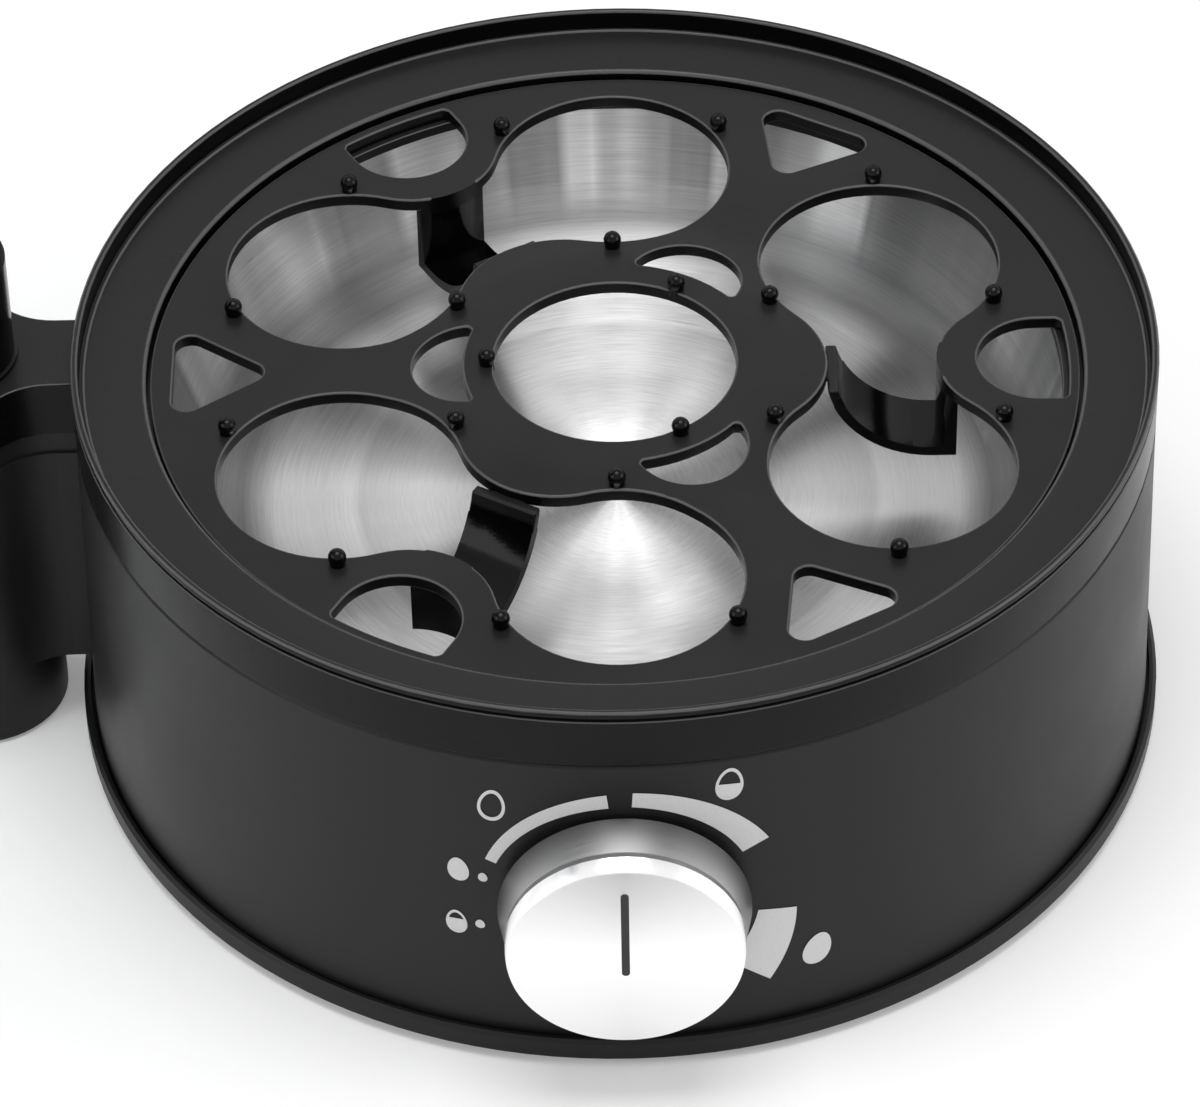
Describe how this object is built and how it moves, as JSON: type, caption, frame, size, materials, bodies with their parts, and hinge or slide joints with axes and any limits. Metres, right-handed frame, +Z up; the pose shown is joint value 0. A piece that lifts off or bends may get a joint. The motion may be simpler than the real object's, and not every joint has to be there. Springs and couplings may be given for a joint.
{
  "type": "egg cooker",
  "caption": "Round electric egg cooker with a steel water dish, lift-out egg tray, front control knob and a domed lid that stands open on a side hinge post.",
  "frame": {"origin": "on the table under the middle of the round base", "axes": "+Z up, -Y towards the knob at the front, -X towards the hinge post"},
  "size_m": [0.3291, 0.1957, 0.2853],
  "materials": {
    "housing_plastic": "fine satin texture, black",
    "collar_plastic": "satin black",
    "tray_plastic": "satin black with polished edges",
    "base_plastic": "satin black",
    "post_plastic": "gloss black",
    "brushed_dish_steel": "spun and brushed in circles",
    "knob_satin": "satin, darker towards the housing",
    "knob_chrome": "polished",
    "pointer_dark": "matte dark insert",
    "rubber": "matte",
    "fastener_steel": "plated",
    "aluminium": "pressed sheet",
    "element_steel": "heat-dulled",
    "pale_plastic": "moulded",
    "lead_insulation": "silicone-sleeved leads",
    "silicone": "matte",
    "clear_plastic": "clear, polished",
    "lid_black": "satin gloss black"
  },
  "bodies": {
    "base": {"housing": "housing_plastic", "collar": "collar_plastic", "base_plate": "base_plastic", "rubber_feet": "rubber", "base_screws": "fastener_steel", "column_foot": "base_plastic", "heating_dish": "brushed_dish_steel", "dish_gasket": "silicone", "dish_screws": "fastener_steel", "heat_plate": "aluminium", "heating_element": "element_steel", "element_clamp": "fastener_steel", "clamp_nut": "fastener_steel", "thermostat": "pale_plastic", "thermal_fuse": "pale_plastic", "regulator_body": "pale_plastic", "regulator_nut": "fastener_steel", "buzzer": "base_plastic", "terminal_block": "pale_plastic", "cord_gland": "rubber", "inner_leads": "lead_insulation", "hinge_post": "post_plastic", "post_screw": "fastener_steel", "hinge_pin": "fastener_steel"},
    "knob": {"control_shaft": "fastener_steel", "knob_drum": "knob_satin", "knob_cap": "knob_chrome", "knob_pointer": "pointer_dark"},
    "tray": {"egg_tray": "tray_plastic"},
    "lid": {"lid_dome": "clear_plastic", "lid_rim": "lid_black", "lid_arm": "lid_black", "lid_screws": "fastener_steel", "lid_knob": "lid_black", "lid_knob_screw": "fastener_steel", "hinge_bush": "pale_plastic"}
  },
  "joints": [
    {"name": "knob_turn", "type": "hinge", "parent": "base", "child": "knob", "pos_m": [0, -0.0911, 0.035], "axis": [0, -1, 0], "range_deg": [-125, 100]},
    {"name": "tray_lift", "type": "slide", "parent": "base", "child": "tray", "axis": [0, 0, 1], "range_m": [0, 0.03]},
    {"name": "lid_hinge", "type": "hinge", "parent": "base", "child": "lid", "pos_m": [-0.111, 0, 0.105], "axis": [0, 1, 0], "range_deg": [0, 125]}
  ]
}
